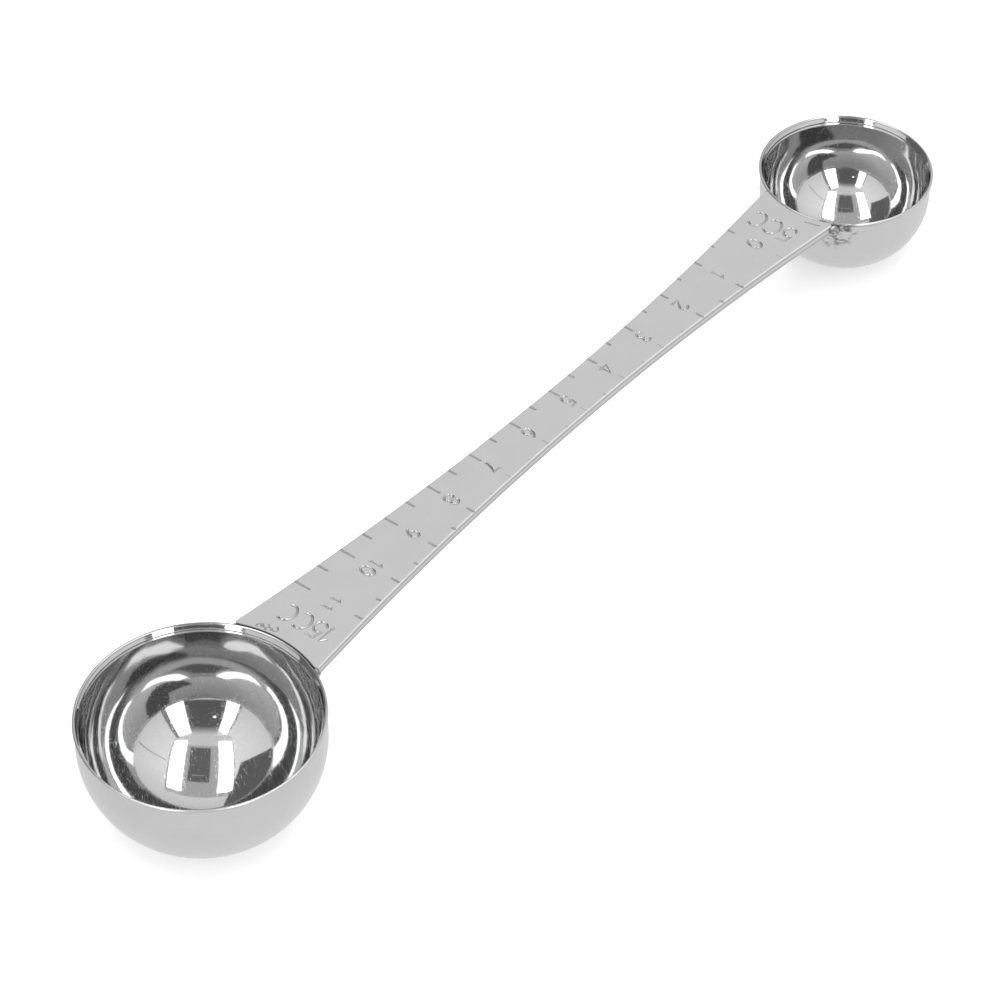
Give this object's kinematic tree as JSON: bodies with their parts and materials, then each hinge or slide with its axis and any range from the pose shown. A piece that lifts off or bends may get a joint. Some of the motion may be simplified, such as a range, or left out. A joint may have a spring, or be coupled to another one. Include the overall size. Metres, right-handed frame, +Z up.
{
  "type": "double-ended coffee scoop",
  "caption": "Stainless steel coffee scoop with a large round bowl at one end, a small one at the other and a flat waisted handle marked as a centimetre rule.",
  "frame": {"origin": "middle of the scoop's length and width, on the surface that both bowls stand on", "axes": "+X along the handle towards the large bowl, +Y towards the edge with the short rule marks, +Z up out of the bowls"},
  "size_m": [0.2001, 0.039, 0.0227],
  "materials": {
    "handle_steel": "fine satin, brushed along the length",
    "bowl_steel": "mirror polished inside, satin turned outside",
    "weld_steel": "rough weld bead with heat tint"
  },
  "bodies": {
    "root": {"handle": "handle_steel", "large_bowl": "bowl_steel", "small_bowl": "bowl_steel", "large_bowl_near_weld": "weld_steel", "large_bowl_far_weld": "weld_steel", "small_bowl_near_weld": "weld_steel", "small_bowl_far_weld": "weld_steel"}
  },
  "joints": []
}
